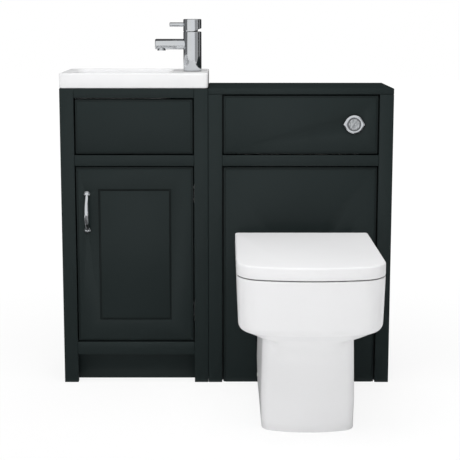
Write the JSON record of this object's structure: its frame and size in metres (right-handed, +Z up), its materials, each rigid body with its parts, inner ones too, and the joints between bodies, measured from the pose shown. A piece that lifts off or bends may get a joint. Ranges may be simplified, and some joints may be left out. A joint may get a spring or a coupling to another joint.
{
  "type": "cloakroom vanity suite",
  "caption": "Slim basin cabinet with mixer tap joined to a toilet cabinet with hidden cistern and a square back-to-wall pan with seat and lid.",
  "frame": {"origin": "on the floor, at the middle of the suite's width and of its depth from the pan's front to the wall", "axes": "+Z up, +Y towards the wall, +X to the right when facing the suite"},
  "size_m": [0.9004, 0.75, 1.0017],
  "materials": {
    "cabinet_paint": "painted board, satin",
    "carcass_board": "faced board, matt",
    "plain_wood": "planed, unfinished",
    "china": "glazed white",
    "seat_plastic": "gloss white",
    "chrome": "polished",
    "steel": "bright plated",
    "brass": "machined",
    "white_plastic": "moulded",
    "rubber": "matt black"
  },
  "bodies": {
    "suite": {"side_panels": "cabinet_paint", "stiles": "cabinet_paint", "face_rails": "cabinet_paint", "vanity_base": "carcass_board", "plinth": "cabinet_paint", "back_boards": "carcass_board", "shelf": "carcass_board", "shelf_pegs": "steel", "drawer_panel": "cabinet_paint", "panel_battens": "carcass_board", "worktop": "cabinet_paint", "upper_panel": "cabinet_paint", "lower_panel": "cabinet_paint", "unit_bolts": "steel", "hinge_arms": "steel", "hinge_plates": "steel", "hinge_packers": "plain_wood", "hinge_screws": "steel", "door_stops": "white_plastic", "basin": "china", "overflow_ring": "chrome", "waste_body": "chrome", "waste_nuts": "chrome", "trap_body": "chrome", "trap_cup": "chrome", "waste_pipe": "chrome", "tap_body": "chrome", "tap_aerator": "chrome", "tap_cartridge": "white_plastic", "tap_fixing": "brass", "button_bezel": "chrome", "flush_valve": "white_plastic", "cistern_tank": "white_plastic", "cistern_lid": "white_plastic", "cistern_screws": "steel", "fill_valve": "white_plastic", "flush_pipe": "white_plastic", "flush_seal": "rubber", "pan": "china", "pan_fixings": "white_plastic", "soil_connector": "white_plastic", "seat_hinges": "chrome"},
    "door_leaf": {"door": "cabinet_paint", "door_handle": "chrome", "handle_screws": "steel", "hinge_cups": "steel", "hinge_pins": "steel"},
    "tap_turn": {"tap_spindle": "chrome"},
    "tap_handle": {"tap_cap": "chrome", "tap_lever": "chrome", "tap_lift_pin": "steel"},
    "basin_plug": {"waste_plug": "chrome"},
    "push_button": {"flush_button": "chrome"},
    "crank": {"flush_crank": "white_plastic"},
    "valve_plug": {"flush_plug": "white_plastic"},
    "float": {"fill_float": "rubber"},
    "seat_ring": {"seat": "seat_plastic", "seat_buffers": "white_plastic"},
    "seat_lid": {"lid": "seat_plastic", "lid_buffers": "white_plastic"}
  },
  "joints": [
    {"name": "door_swing", "type": "hinge", "parent": "suite", "child": "door_leaf", "pos_m": [-0.11125, 0.1375, 0.36], "axis": [0, 0, 1], "range_deg": [0, 100]},
    {"name": "tap_temperature", "type": "hinge", "parent": "suite", "child": "tap_turn", "pos_m": [-0.09425, 0.237, 0.9677], "axis": [0, 0, 1], "range_deg": [-45, 45]},
    {"name": "tap_lift", "type": "hinge", "parent": "tap_turn", "child": "tap_handle", "pos_m": [-0.09425, 0.237, 0.9737], "axis": [0, 1, 0], "range_deg": [0, 20]},
    {"name": "plug_lift", "type": "slide", "parent": "suite", "child": "basin_plug", "axis": [0, 0, 1], "range_m": [0, 0.009]},
    {"name": "button_push", "type": "slide", "parent": "suite", "child": "push_button", "axis": [0, 1, 0], "range_m": [0, 0.006], "stiffness_N_per_m": 600, "springref_m": -0.002},
    {"name": "crank_turn", "type": "hinge", "parent": "suite", "child": "crank", "pos_m": [0.20025, 0.25, 0.748], "axis": [1, 0, 0], "range_deg": [0, 15.6]},
    {"name": "valve_lift", "type": "slide", "parent": "suite", "child": "valve_plug", "axis": [0, 0, 1], "range_m": [0, 0.0149]},
    {"name": "float_rise", "type": "slide", "parent": "suite", "child": "float", "axis": [0, 0, 1], "range_m": [0, 0.06]},
    {"name": "seat_raise", "type": "hinge", "parent": "suite", "child": "seat_ring", "pos_m": [0.20025, 0.05, 0.42], "axis": [-1, 0, 0], "range_deg": [0, 95]},
    {"name": "lid_raise", "type": "hinge", "parent": "seat_ring", "child": "seat_lid", "pos_m": [0.20025, 0.05, 0.42], "axis": [1, 0, 0], "range_deg": [-95, 0]}
  ],
  "couplings": [
    {"joint": "crank_turn", "follows": "button_push", "rad_per_m": 45},
    {"joint": "valve_lift", "follows": "button_push", "ratio": 2.4667}
  ]
}
